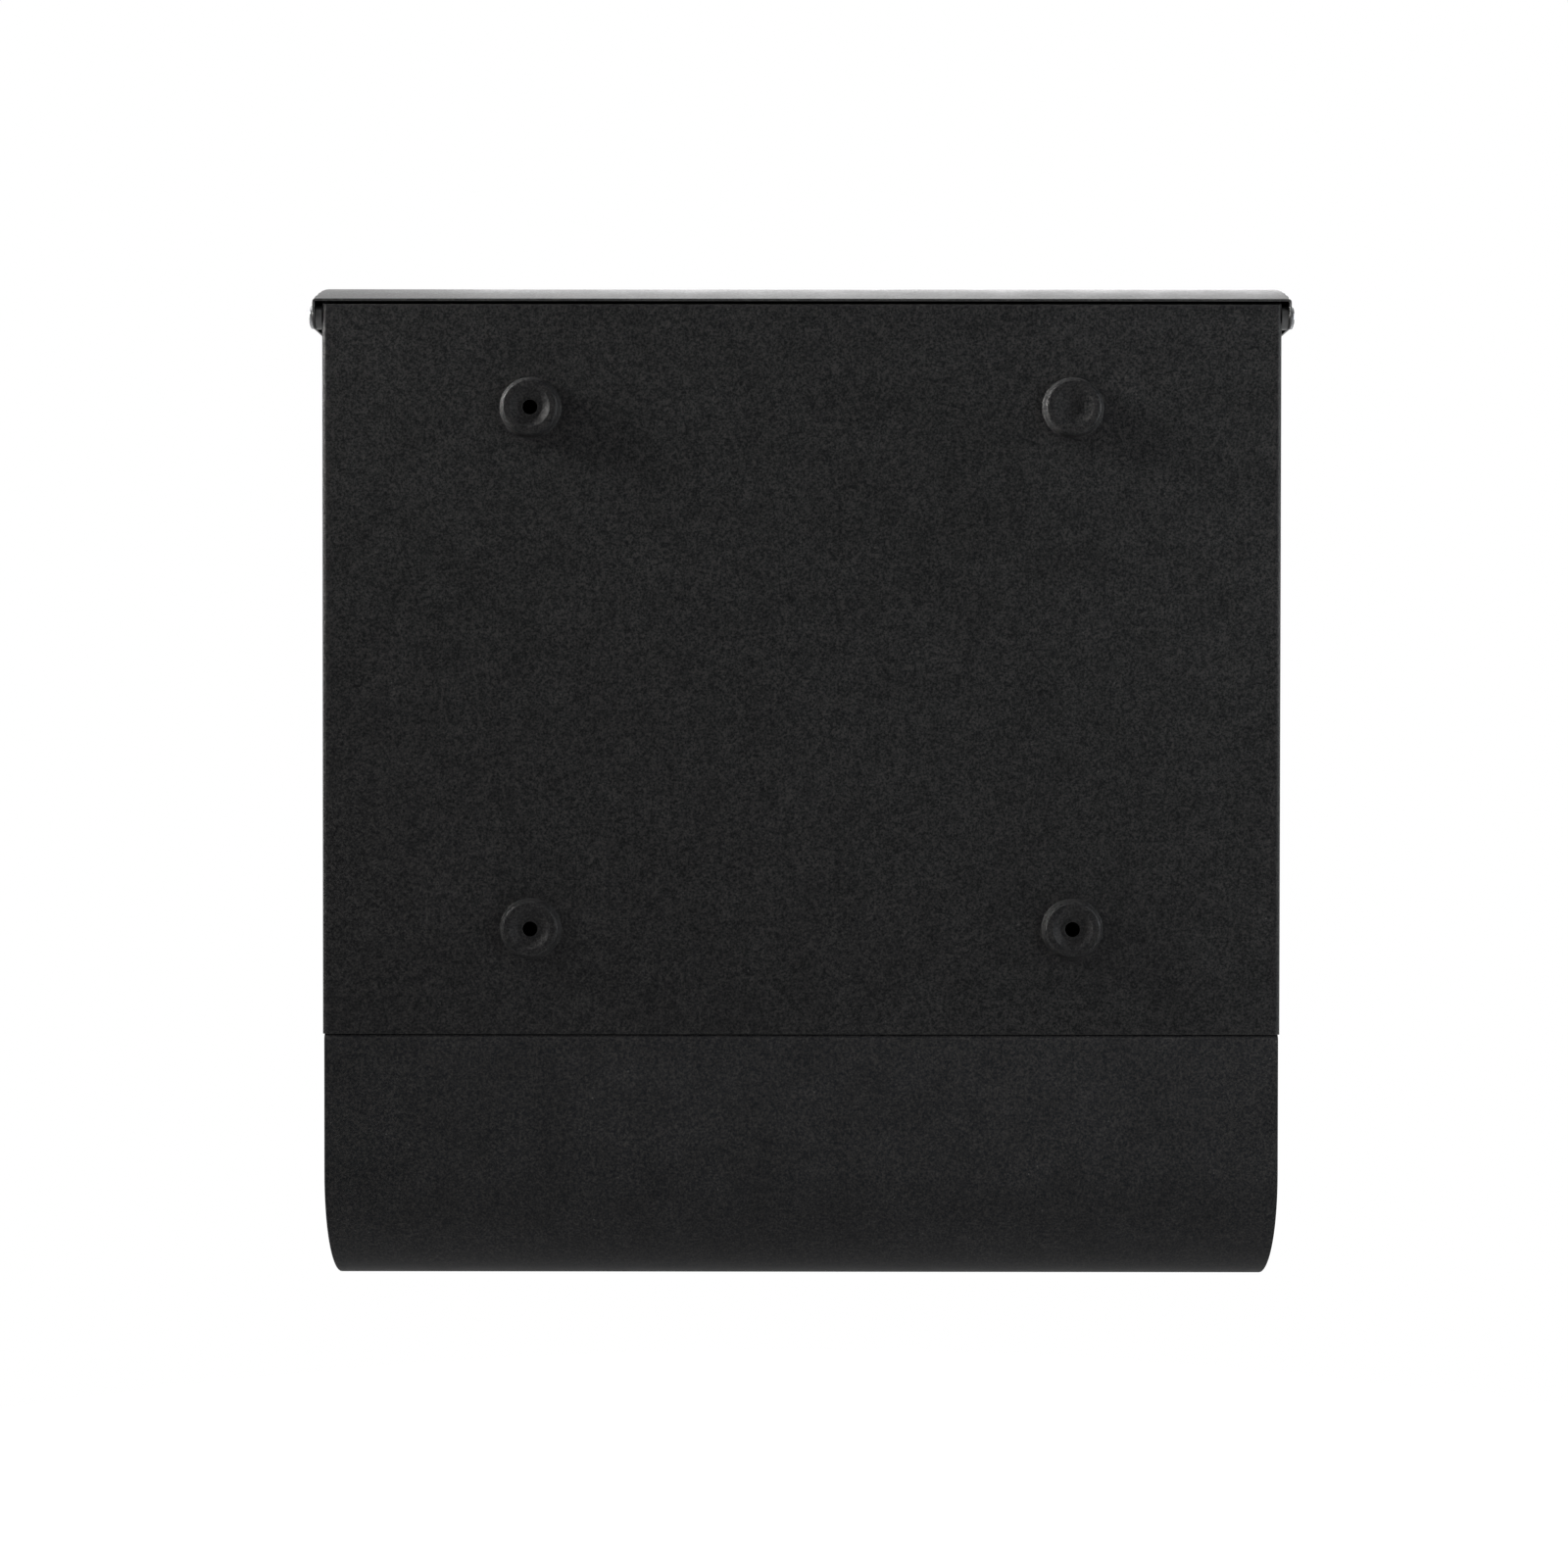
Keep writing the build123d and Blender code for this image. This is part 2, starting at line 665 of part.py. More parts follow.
def holder_screw_places():
    return (-holder_screw_pitch, 0, holder_screw_pitch)


def holder_screws():
    screws = []
    length = 2 * sheet + m4_nut_height + screw_end
    for x in holder_screw_places():
        shank = Pos(0, 0, length / 2) * Cylinder(holder_screw / 2, length)
        head = Rot(180, 0, 0) * dome_head(m4_head / 2, m4_head_height)
        screws.append(Pos(x, holder_screw_y, bottom_z - sheet) * (shank + head))
    return screws


def holder_nuts():
    nuts = []
    for x in holder_screw_places():
        nut = hex_nut(m4_nut_flats, holder_screw + 2 * rivet_slack, m4_nut_height)
        nuts.append(Pos(x, holder_screw_y, bottom_z + sheet) * nut)
    return nuts


def write(node, shape):
    """Write one node; a list of solids becomes one compound."""
    if isinstance(shape, list):
        shape = Compound(children=shape)
    export_step(shape, f"parts/{node}.step")


os.makedirs("parts", exist_ok=True)
for make in (
    box_shell,
    box_floor,
    floor_rivets,
    front_rail,
    rail_rivets,
    lid,
    lid_pivot_bushes,
    lid_pivot_bolts,
    lid_pivot_nuts,
    lid_bumpers,
    door,
    door_pivot_rivets,
    door_pivot_washers,
    door_bumpers,
    window_pane,
    pane_rivets,
    lock_body,
    lock_nut,
    lock_plug,
    lock_cam,
    cam_screw,
    lock_cover,
    lock_cover_rivet,
    newspaper_holder,
    holder_screws,
    holder_nuts,
):
    write(make.__name__, make())
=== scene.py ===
import bpy
import bmesh
import json
import math
from mathutils import Matrix, Vector


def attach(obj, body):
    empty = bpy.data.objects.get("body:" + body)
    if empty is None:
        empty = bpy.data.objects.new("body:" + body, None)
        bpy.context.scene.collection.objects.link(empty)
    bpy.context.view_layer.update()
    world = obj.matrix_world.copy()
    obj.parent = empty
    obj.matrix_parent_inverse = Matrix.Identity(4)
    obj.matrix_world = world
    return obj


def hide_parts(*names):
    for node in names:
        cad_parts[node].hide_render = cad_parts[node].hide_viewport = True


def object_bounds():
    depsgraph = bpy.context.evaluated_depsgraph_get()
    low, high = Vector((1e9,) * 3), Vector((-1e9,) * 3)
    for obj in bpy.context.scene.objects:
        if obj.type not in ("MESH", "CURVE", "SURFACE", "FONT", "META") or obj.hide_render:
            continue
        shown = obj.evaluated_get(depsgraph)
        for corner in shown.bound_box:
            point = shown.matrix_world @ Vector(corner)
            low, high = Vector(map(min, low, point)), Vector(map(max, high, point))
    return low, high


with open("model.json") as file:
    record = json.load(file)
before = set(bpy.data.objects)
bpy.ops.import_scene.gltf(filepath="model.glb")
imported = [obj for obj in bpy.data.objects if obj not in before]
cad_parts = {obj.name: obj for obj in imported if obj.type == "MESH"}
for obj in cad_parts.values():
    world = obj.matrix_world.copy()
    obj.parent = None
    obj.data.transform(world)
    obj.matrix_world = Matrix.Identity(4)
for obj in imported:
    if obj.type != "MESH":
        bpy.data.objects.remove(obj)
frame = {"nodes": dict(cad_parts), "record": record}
cad_low, cad_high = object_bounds()
nodes = frame["nodes"]
record = frame["record"]
slot_of = {part["node"]: part["material_slot"] for part in record["subparts"]}
body_of = {name: body for body, names in record["behaviour"]["bodies"].items() for name in names}

# Metres and degrees throughout, in the frame of the CAD model.

# Radii that nuts share with what they sit on
PIVOT_SHANK = 0.0015
HOLDER_SHANK = 0.0020
LOCK_BARREL = 0.0080
BORE_SLACK = 0.00005          # nut bores round their shanks

# Screws: height of the head, radius of the shank, pitch, and threaded share of the shank
PIVOT_BOLT = (0.0016, PIVOT_SHANK, 0.0005, 0.55)
HOLDER_SCREW = (0.0022, HOLDER_SHANK, 0.0007, 0.85)
CAM_SCREW = (0.0022, 0.0016, 0.0005, 0.6)

# Rivets: height of the head, radii of the shank and the tail, and height of the tail
SHEET_RIVET = (0.0010, 0.0016, 0.00255, 0.0012)
DOOR_RIVET = (0.0018, 0.0020, 0.0030, 0.0016)

# Threads
THREAD_DEPTH = 0.61           # as a share of the pitch
THREAD_STEPS = 6              # rows of faces along one turn

# Pan heads, as shares of the head's height and radius
PAN_ROUND = 0.55              # height of the rounded rim
PAN_CROWN = 0.42              # radius of the flat crown
PAN_STEPS = 8                 # rows of faces over the rounded rim
CROSS_TOP = (0.56, 0.13, 1.1)     # cross recess: half length, half width and height at its top
CROSS_FOOT = (0.252, 0.09, 0.25)  # and at its foot

# Blind rivets, as shares of the head's height, the hole's radius and the tail's radius and height
MANDREL = 0.0008              # radius in metres of the hole in the head
MANDREL_ROWS = ((0.45, 0.0), (0.40, 0.85), (0.35, 1.0))   # heights and radii of the mandrel's end
MOUTH = 1.05                  # radius of the hole's mouth
BLIND_LIP = 0.22              # height of the head's straight edge
BLIND_STEPS = 8               # rows of faces over the head
BULB_FOOT = 0.92              # radius of the tail where it meets the sheet
BULB_SIDE = 0.25              # height of the tail's straight side
BULB_TIP = 0.35               # radius of the tail's flat tip
BULB_STEPS = 5                # rows of faces over the tail

# Set rivets, in the same shares
SET_LIP = 0.2                 # height of the head's straight edge
SET_STEPS = 9                 # rows of faces over the head
SET_SIDE = 0.7                # height of the tail's straight side
SET_TIP = 0.86                # radius of the tail's flat end

# Shape of the nuts
NUT_FACE = 0.475              # radius of the flat face as a share of the width across the flats
NUT_SINK = 0.12               # depth of the countersink as a share of the bore's radius
CHAMFER_STEPS = 4             # rows of faces along the chamfer

# Sides round each kind of turned piece, and the angle in degrees at which its edges stay sharp
SCREW_SIDES = 48
BLIND_SIDES = 32
SET_SIDES = 40
NUT_SIDES = 72
SHARP = 32.0
BLIND_SHARP = 50.0

# Nearness in metres at which points count as one, and at which faces count as slivers
WELD = 1e-6
SLIVER = 2e-7

# The camera stands behind the box.
CAMERA_PLACE = Vector((0.0052, 0.9246, 0.0649))
CAMERA_YAW = -0.083
CAMERA_PITCH = 0.621
CAMERA_ROLL = 0.052
CAMERA_LENS = 56.2
CAMERA_SENSOR = 36.0
CAMERA_CLIP = (0.05, 50.0)

# Studio
FLOOR_DROP = 0.30
FLOOR_RADIUS = 6.0
FLOOR_SIDES = 96
FLOOR_LIFT = 0.30             # keeps the floor near white where the lamps don't reach
FLOOR_FADE = (0.45, 1.10)     # distances between which the floor becomes the white background
AMBIENT = (0.80, 0.20)        # diffuse light from the white side, and from behind the camera
REFLECTED = (1.0, 0.30)       # the same for what glossy surfaces see
DIM_SIDE = (0.05, 0.75)       # share of +Y in a direction over which the studio grows dim
FLOOR_TONES = (0.86, 0.88)    # darkest and palest grey of the floor's own colour
WHITE = (1.0, 1.0, 1.0)
WARM = (1.0, 0.98, 0.95)
FAINTLY_WARM = (1.0, 0.99, 0.97)
COOL = (0.94, 0.97, 1.0)
FAINTLY_COOL = (0.95, 0.98, 1.0)

# Materials
STEEL = (0.17, 0.172, 0.178)  # blackened
STEEL_STAIN = (0.08, 0.082, 0.086)
ZINC = (0.40, 0.43, 0.47)
ZINC_STAIN = (0.28, 0.30, 0.31)
CHROME = (0.46, 0.47, 0.49)
CHROME_STAIN = (0.41, 0.42, 0.44)
BRASS = (0.60, 0.45, 0.20)
BRASS_STAIN = (0.36, 0.25, 0.10)
BEVEL_SAMPLES = 6
WEAR_AND_HIGHLIGHT_COSINE = 0.82            # between the plain and the rounded normal where an edge is fully worn, and on the powder coats fully lit by the painted highlight


# ---------------------------------------------------------------- material helpers
class Nodes:
    """A material under construction."""

    def __init__(self, name):
        self.material = bpy.data.materials.new(name)
        self.material.use_nodes = True
        self.tree = self.material.node_tree
        self.tree.nodes.clear()
        self.output = self.add("ShaderNodeOutputMaterial")
        self.coords = self.add("ShaderNodeTexCoord").outputs["Object"]

    def add(self, kind, **settings):
        node = self.tree.nodes.new(kind)
        for key, value in settings.items():
            setattr(node, key, value)
        return node

    def put(self, value, socket):
        """Links an output, or sets a plain value."""
        if isinstance(value, bpy.types.NodeSocket):
            self.tree.links.new(value, socket)
        else:
            socket.default_value = value

    def shift(self, x, y, z):
        """Object coordinates moved by a fixed amount, so that no two finishes repeat."""
        node = self.add("ShaderNodeMapping")
        self.put(self.coords, node.inputs["Vector"])
        node.inputs["Location"].default_value = (x, y, z)
        return node.outputs["Vector"]

    def stretch(self, vector, x, y, z):
        node = self.add("ShaderNodeMapping")
        self.put(vector, node.inputs["Vector"])
        node.inputs["Scale"].default_value = (x, y, z)
        return node.outputs["Vector"]

    def noise(self, vector, scale, detail=3.0, rough=0.5, warp=0.0):
        node = self.add("ShaderNodeTexNoise")
        self.put(vector, node.inputs["Vector"])
        node.inputs["Scale"].default_value = scale
        node.inputs["Detail"].default_value = detail
        node.inputs["Roughness"].default_value = rough
        node.inputs["Distortion"].default_value = warp
        return node.outputs["Fac"]

    def cells(self, vector, scale):
        node = self.add("ShaderNodeTexVoronoi", feature="F1")
        self.put(vector, node.inputs["Vector"])
        node.inputs["Scale"].default_value = scale
        return node.outputs["Distance"]

    def maths(self, operation, a, b, clamp=False):
        node = self.add("ShaderNodeMath", operation=operation, use_clamp=clamp)
        self.put(a, node.inputs[0])
        self.put(b, node.inputs[1])
        return node.outputs[0]

    def weigh(self, a, b, share):
        """The weighted sum of two values; the share is that of the second."""
        first = self.maths("MULTIPLY", a, 1.0 - share)
        return self.maths("ADD", first, self.maths("MULTIPLY", b, share))

    def span(self, value, low, high, to_low, to_high):
        node = self.add("ShaderNodeMapRange")
        self.put(value, node.inputs["Value"])
        node.inputs["From Min"].default_value = low
        node.inputs["From Max"].default_value = high
        node.inputs["To Min"].default_value = to_low
        node.inputs["To Max"].default_value = to_high
        return node.outputs["Result"]

    def ramp(self, value, *stops):
        node = self.add("ShaderNodeValToRGB")
        self.put(value, node.inputs["Fac"])
        elements = node.color_ramp.elements
        while len(elements) < len(stops):
            elements.new(0.5)
        for element, (place, colour) in zip(elements, stops):
            element.position = place
            element.color = (*colour, 1.0)
        return node.outputs["Color"]

    def mix(self, factor, a, b, blend="MIX"):
        node = self.add("ShaderNodeMix", data_type="RGBA", blend_type=blend)
        self.put(factor, node.inputs["Factor"])
        self.put(a, node.inputs["A"])
        self.put(b, node.inputs["B"])
        return node.outputs["Result"]

    def bump(self, height, strength, distance, normal=None):
        node = self.add("ShaderNodeBump")
        self.put(height, node.inputs["Height"])
        node.inputs["Strength"].default_value = strength
        node.inputs["Distance"].default_value = distance
        if normal is not None:
            self.put(normal, node.inputs["Normal"])
        return node.outputs["Normal"]

    def rounded(self, radius):
        """The normal, rounded off at edges and bends."""
        node = self.add("ShaderNodeBevel", samples=BEVEL_SAMPLES)
        node.inputs["Radius"].default_value = radius
        return node.outputs["Normal"]

    def edge(self, normal):
        """About 0 on flat faces and up to 1 where the rounded normal leaves the plain one."""
        plain = self.add("ShaderNodeNewGeometry").outputs["Normal"]
        dot = self.add("ShaderNodeVectorMath", operation="DOT_PRODUCT")
        self.put(normal, dot.inputs[0])
        self.put(plain, dot.inputs[1])
        return self.span(dot.outputs["Value"], 1.0, WEAR_AND_HIGHLIGHT_COSINE, 0.0, 1.0)

    def surface(self, **sockets):
        shader = self.add("ShaderNodeBsdfPrincipled")
        for name, value in sockets.items():
            self.put(value, shader.inputs[name.replace("_", " ")])
        self.tree.links.new(shader.outputs["BSDF"], self.output.inputs["Surface"])
        return self.material


def grey(value, tint=WHITE):
    """An even grey, or that grey under a tint."""
    return tuple(value * part for part in tint)


# ---------------------------------------------------------------- finishes
def powder_coat(name, seed, level, specular, rough, grit=0.95):
    """Fine-textured black powder coat: soft orange peel, dense grain, dust, and thin edges
    lightened partly as wear and partly as a painted highlight.

    The level is its mean colour, and the grit the contrast of its grain.
    """
    n = Nodes(name)
    place = n.shift(seed, seed * 0.7, -seed)
    drift = n.noise(place, scale=9.0, detail=2.0, rough=0.45)
    cloud = n.noise(place, scale=65.0, detail=3.0, rough=0.55)
    mottle = n.noise(place, scale=560.0, detail=3.0, rough=0.6)
    grain = n.noise(place, scale=1250.0, detail=3.0, rough=0.75)
    tone = n.weigh(mottle, grain, 0.75)
    colour = n.ramp(
        tone,
        (0.39, grey(level * (1.0 - 0.78 * grit), (0.90, 0.98, 1.12))),
        (0.50, grey(level, (0.99, 1.0, 1.02))),
        (0.61, grey(level * (1.0 + 1.25 * grit), (1.05, 1.0, 0.97))),
    )
    colour = n.mix(1.0, colour, n.ramp(cloud, (0.30, grey(0.86)), (0.70, grey(1.08))), "MULTIPLY")
    colour = n.mix(1.0, colour, n.ramp(drift, (0.30, grey(0.90)), (0.70, grey(1.06))), "MULTIPLY")
    flecks = n.span(n.cells(place, scale=230.0), 0.05, 0.09, 1.0, 0.0)
    dust = n.maths("MULTIPLY", flecks, n.span(cloud, 0.50, 0.62, 0.0, 0.6), clamp=True)
    colour = n.mix(dust, colour, (*grey(level * 5.0, (1.0, 0.98, 0.94)), 1.0))
    soft = n.rounded(0.0006)
    # Thin edges lightened: partly wear, partly a painted highlight along rims, bends and boss
    # flanks.
    wear_and_edge_highlight = n.maths("MULTIPLY", n.edge(soft), n.span(tone, 0.30, 0.70, 0.20, 0.70), clamp=True)
    colour = n.mix(wear_and_edge_highlight, colour, (*grey(level * 2.6), 1.0))
    roughness = n.maths(
        "ADD",
        n.span(tone, 0.36, 0.64, rough - 0.07, rough + 0.07),
        n.span(cloud, 0.3, 0.7, -0.03, 0.04),
    )
    relief = n.bump(mottle, strength=0.35, distance=0.00010, normal=soft)
    relief = n.bump(grain, strength=0.90, distance=0.00008, normal=relief)
    return n.surface(
        Base_Color=colour,
        Roughness=roughness,
        Specular_IOR_Level=specular,
        Normal=relief,
    )


def plated(name, seed, clean, stained, rough, relief_depth=1.0, coat=0.0):
    """Plated metal with fine grain, faint stains and brighter rubbed edges."""
    n = Nodes(name)
    place = n.shift(seed, -seed, seed * 0.3)
    fine = n.noise(place, scale=1400.0, detail=3.0, rough=0.6)
    stain = n.noise(place, scale=150.0, detail=4.0, rough=0.6, warp=0.4)
    pits = n.cells(place, scale=900.0)
    bright = tuple(min(1.0, part * 1.15) for part in clean)
    colour = n.ramp(stain, (0.32, stained), (0.52, clean), (0.75, bright))
    soft = n.rounded(0.00025)
    rubbed = tuple(min(0.9, part * 1.3) for part in clean)
    colour = n.mix(n.maths("MULTIPLY", n.edge(soft), 0.5), colour, (*rubbed, 1.0))
    roughness = n.maths(
        "ADD",
        n.span(fine, 0.3, 0.7, rough - 0.05, rough + 0.06),
        n.span(stain, 0.35, 0.7, 0.04, -0.03),
    )
    relief = n.bump(fine, strength=0.25 * relief_depth, distance=0.00003, normal=soft)
    relief = n.bump(pits, strength=0.12 * relief_depth, distance=0.00003, normal=relief)
    return n.surface(
        Base_Color=colour,
        Metallic=1.0,
        Roughness=roughness,
        Coat_Weight=coat,
        Normal=relief,
    )


def moulded(name, seed, level, rough, specular=0.5):
    """Moulded black plastic or rubber: fine spark texture and a little bloom."""
    n = Nodes(name)
    place = n.shift(seed, seed, -seed * 0.4)
    spark = n.cells(place, scale=1600.0)
    bloom = n.noise(place, scale=110.0, detail=4.0, rough=0.6)
    dust = n.noise(place, scale=900.0, detail=4.0, rough=0.7)
    colour = n.ramp(
        n.weigh(bloom, dust, 0.4),
        (0.35, grey(level * 0.7)),
        (0.55, grey(level)),
        (0.75, grey(level * 1.9, (1.0, 0.99, 0.96))),
    )
    relief = n.bump(spark, strength=0.3, distance=0.00005, normal=n.rounded(0.0003))
    relief = n.bump(dust, strength=0.2, distance=0.00003, normal=relief)
    return n.surface(
        Base_Color=colour,
        Roughness=n.span(bloom, 0.3, 0.7, rough - 0.07, rough + 0.08),
        Specular_IOR_Level=specular,
        Normal=relief,
    )


def acrylic(name):
    """Clear acrylic sheet with faint upright wipe marks and dust."""
    n = Nodes(name)
    wiped = n.stretch(n.coords, 1.0, 1.0, 0.18)
    wipes = n.noise(wiped, scale=260.0, detail=4.0, rough=0.65, warp=0.8)
    dust = n.noise(n.coords, scale=1500.0, detail=2.0, rough=0.7)
    return n.surface(
        Base_Color=n.ramp(wipes, (0.3, (0.90, 0.94, 0.94)), (0.7, (0.96, 0.98, 0.98))),
        Roughness=n.span(n.maths("MULTIPLY", wipes, dust), 0.15, 0.40, 0.02, 0.08),
        IOR=1.49,
        Transmission_Weight=1.0,
        Normal=n.bump(wipes, strength=0.04, distance=0.00002),
    )


finishes = {
    "body_coat": powder_coat("body_coat", 1.3, level=0.0085, specular=0.065, rough=0.50),
    "lid_coat": powder_coat("lid_coat", 4.1, level=0.0110, specular=0.26, rough=0.38),
    "door_coat": powder_coat("door_coat", 7.7, level=0.0115, specular=0.15, rough=0.46),
    # Same black powder coat as the body; its lighter level makes up for its weaker shine, so the
    # holder's extra lightness is painted light.
    "holder_coat": powder_coat(
        "holder_coat", 11.9, level=0.0128, specular=0.02, rough=0.64, grit=0.6
    ),
    "painted_rivet": powder_coat("painted_rivet", 15.2, level=0.0135, specular=0.25, rough=0.42),
    "steel_bolt": plated("steel_bolt", 2.2, STEEL, STEEL_STAIN, rough=0.22, coat=1.0),
    "zinc_plate": plated("zinc_plate", 5.6, ZINC, ZINC_STAIN, rough=0.32),
    "black_nylon": moulded("black_nylon", 3.4, level=0.016, rough=0.40),
    "rubber": moulded("rubber", 6.3, level=0.014, rough=0.78, specular=0.35),
    "clear_acrylic": acrylic("clear_acrylic"),
    "lock_chrome": plated("lock_chrome", 9.1, CHROME, CHROME_STAIN, rough=0.15, relief_depth=0.35),
    "lock_brass": plated("lock_brass", 12.4, BRASS, BRASS_STAIN, rough=0.30),
}

for name, thing in nodes.items():
    for slot in thing.material_slots:
        slot.material = finishes[slot_of[name]]


# ---------------------------------------------------------------- turned pieces
def at(radius, turn):
    """A row's radius at a turn from 0 to 1; a row may give a number or a function."""
    return radius(turn) if callable(radius) else radius


def turned(rows, sides, ring=False):
    """Closed skin through rows of (height, radius) round the Z axis.

    It starts and ends in poles, or closes on itself as a ring.
    """
    mesh = bmesh.new()
    loops = []
    for height, radius in rows:
        if radius == 0:
            loops.append([mesh.verts.new((0.0, 0.0, height))])
            continue
        loop = []
        for step in range(sides):
            angle = math.tau * step / sides
            reach = at(radius, step / sides)
            loop.append(mesh.verts.new((reach * math.cos(angle), reach * math.sin(angle), height)))
        loops.append(loop)
    pairs = list(zip(loops, loops[1:]))
    if ring:
        pairs.append((loops[-1], loops[0]))
    for low, high in pairs:
        for step in range(sides):
            after = (step + 1) % sides
            if len(low) == 1:
                mesh.faces.new((low[0], high[after], high[step]))
            elif len(high) == 1:
                mesh.faces.new((low[step], low[after], high[0]))
            else:
                mesh.faces.new((low[step], low[after], high[after], high[step]))
    bmesh.ops.recalc_face_normals(mesh, faces=mesh.faces)
    return mesh


def thread_rows(low, high, crest, pitch):
    """Rows of a single-start thread that runs out over its first and last turn."""
    depth = pitch * THREAD_DEPTH
    count = round((high - low) / pitch * THREAD_STEPS)
    rows = []
    for row in range(count + 1):
        height = low + (high - low) * row / count
        ends = min((height - low) / pitch, (high - height) / pitch, 1.0)

        def radius(turn, height=height, ends=ends):
            phase = (height / pitch - turn) % 1.0
            return crest - depth * (1.0 - ends * (1.0 - abs(2.0 * phase - 1.0)))

        rows.append((height, radius))
    return rows


def cross_wing(head_radius, head_height, turn):
    """One of the two tapering wings that cut a cross recess."""
    wing = bmesh.new()
    bmesh.ops.create_cube(wing, size=2.0)
    for corner in wing.verts:
        length, width, height = CROSS_TOP if corner.co.z > 0 else CROSS_FOOT
        x = corner.co.x * head_radius * length
        y = corner.co.y * head_radius * width
        corner.co = (x, y, head_height * height)
    bmesh.ops.rotate(wing, verts=wing.verts, matrix=Matrix.Rotation(turn, 3, "Z"))
    return solid("wing", wing)


def screw(head_radius, head_height, shank, length, pitch, thread_share):
    """Pan-head screw: head above the XY plane, shank and thread below, cross recess in the head."""
    thread_end = -length + length * thread_share
    rows = [(-length, 0), (-length, shank - pitch * THREAD_DEPTH)]
    rows += thread_rows(-length, thread_end, shank, pitch)
    rows += [(thread_end, shank), (0.0, shank), (0.0, head_radius)]
    round_off = head_height * PAN_ROUND
    for step in range(PAN_STEPS + 1):
        angle = math.pi / 2 * step / PAN_STEPS
        height = head_height - round_off + round_off * math.sin(angle)
        rows.append((height, head_radius * (PAN_CROWN + (1.0 - PAN_CROWN) * math.cos(angle))))
    rows.append((head_height, 0))
    body = solid("screw_blank", turned(rows, SCREW_SIDES))
    for turn in (0.0, math.pi / 2):
        carve(body, cross_wing(head_radius, head_height, turn))
    return take_mesh(body)


def dome_height(reach, radius, height, lip):
    """Height of a shallow dome at a distance from its axis, and no less than its straight lip."""
    ball = (radius ** 2 + height ** 2) / (2 * height)
    return max(height * lip, math.sqrt(ball ** 2 - reach ** 2) - ball + height)


def blind_rivet(head_radius, head_height, shank, tail, grip, tail_height):
    """Blind rivet: domed head with the mandrel's end in its hole, shank and bulbed tail."""
    rows = [(head_height * up, MANDREL * out) for up, out in MANDREL_ROWS]
    mouth = MANDREL * MOUTH
    for step in range(BLIND_STEPS + 1):
        reach = mouth + (head_radius - mouth) * step / BLIND_STEPS
        rows.append((dome_height(reach, head_radius, head_height, BLIND_LIP), reach))
    rows += [(0.0, head_radius), (0.0, shank), (-grip, shank), (-grip, tail * BULB_FOOT)]
    for step in range(BULB_STEPS + 1):
        angle = math.pi / 2 * step / BULB_STEPS
        depth = tail_height * (BULB_SIDE + (1.0 - BULB_SIDE) * math.sin(angle))
        rows.append((-grip - depth, tail * (BULB_TIP + (1.0 - BULB_TIP) * math.cos(angle))))
    rows.append((-grip - tail_height, 0))
    return turned(rows, BLIND_SIDES)


def set_rivet(head_radius, head_height, shank, tail, grip, tail_height):
    """Set rivet that a door turns on: smooth domed head, shank and flat formed tail."""
    rows = [(head_height, 0)]
    for step in range(1, SET_STEPS + 1):
        reach = head_radius * step / SET_STEPS
        rows.append((dome_height(reach, head_radius, head_height, SET_LIP), reach))
    rows += [
        (0.0, head_radius),
        (0.0, shank),
        (-grip, shank),
        (-grip, tail),
        (-grip - tail_height * SET_SIDE, tail),
        (-grip - tail_height, tail * SET_TIP),
        (-grip - tail_height, 0),
    ]
    return turned(rows, SET_SIDES)


def hexagon(flats, cone, corner):
    """Radius of a hexagon at a turn, held inside the cone of its chamfer.

    With a corner of 0 there is a corner on the X axis, and with 0.5 on the Y axis.
    """

    def radius(turn):
        offset = (turn * 6 + corner) % 1.0 - 0.5
        return min(flats / 2 / math.cos(offset * math.pi / 3), cone)

    return radius


def nut(flats, bore, height, corner):
    """Chamfered and countersunk hexagon nut that stands on the XY plane."""
    face = flats * NUT_FACE
    slope = math.sqrt(3.0)
    rise = (flats / 2 / math.cos(math.pi / 6) - face) / slope
    lower = []
    upper = []
    for step in range(CHAMFER_STEPS + 1):
        up = rise * step / CHAMFER_STEPS
        ring = hexagon(flats, face + up * slope, corner)
        lower.append((up, ring))
        upper.insert(0, (height - up, ring))
    sink = bore * NUT_SINK
    rows = lower + upper
    rows += [(height, bore + sink), (height - sink, bore), (sink, bore), (0.0, bore + sink)]
    return turned(rows, NUT_SIDES, ring=True)


def solid(name, mesh):
    """Makes an object from mesh code."""
    data = bpy.data.meshes.new(name)
    mesh.to_mesh(data)
    mesh.free()
    thing = bpy.data.objects.new(name, data)
    bpy.context.scene.collection.objects.link(thing)
    return thing


def carve(thing, cutter):
    """Cuts one object out of another for good."""
    modifier = thing.modifiers.new("cut", "BOOLEAN")
    modifier.operation = "DIFFERENCE"
    modifier.solver = "EXACT"
    modifier.object = cutter
    bpy.context.view_layer.update()
    depsgraph = bpy.context.evaluated_depsgraph_get()
    result = bpy.data.meshes.new_from_object(thing.evaluated_get(depsgraph))
    thing.modifiers.clear()
    thing.data = result
    bpy.data.objects.remove(cutter)


def take_mesh(thing):
    """The mesh of an object that is no longer needed, without slivers."""
    mesh = bmesh.new()
    mesh.from_mesh(thing.data)
    bmesh.ops.dissolve_degenerate(mesh, edges=mesh.edges, dist=SLIVER)
    bpy.data.objects.remove(thing)
    return mesh


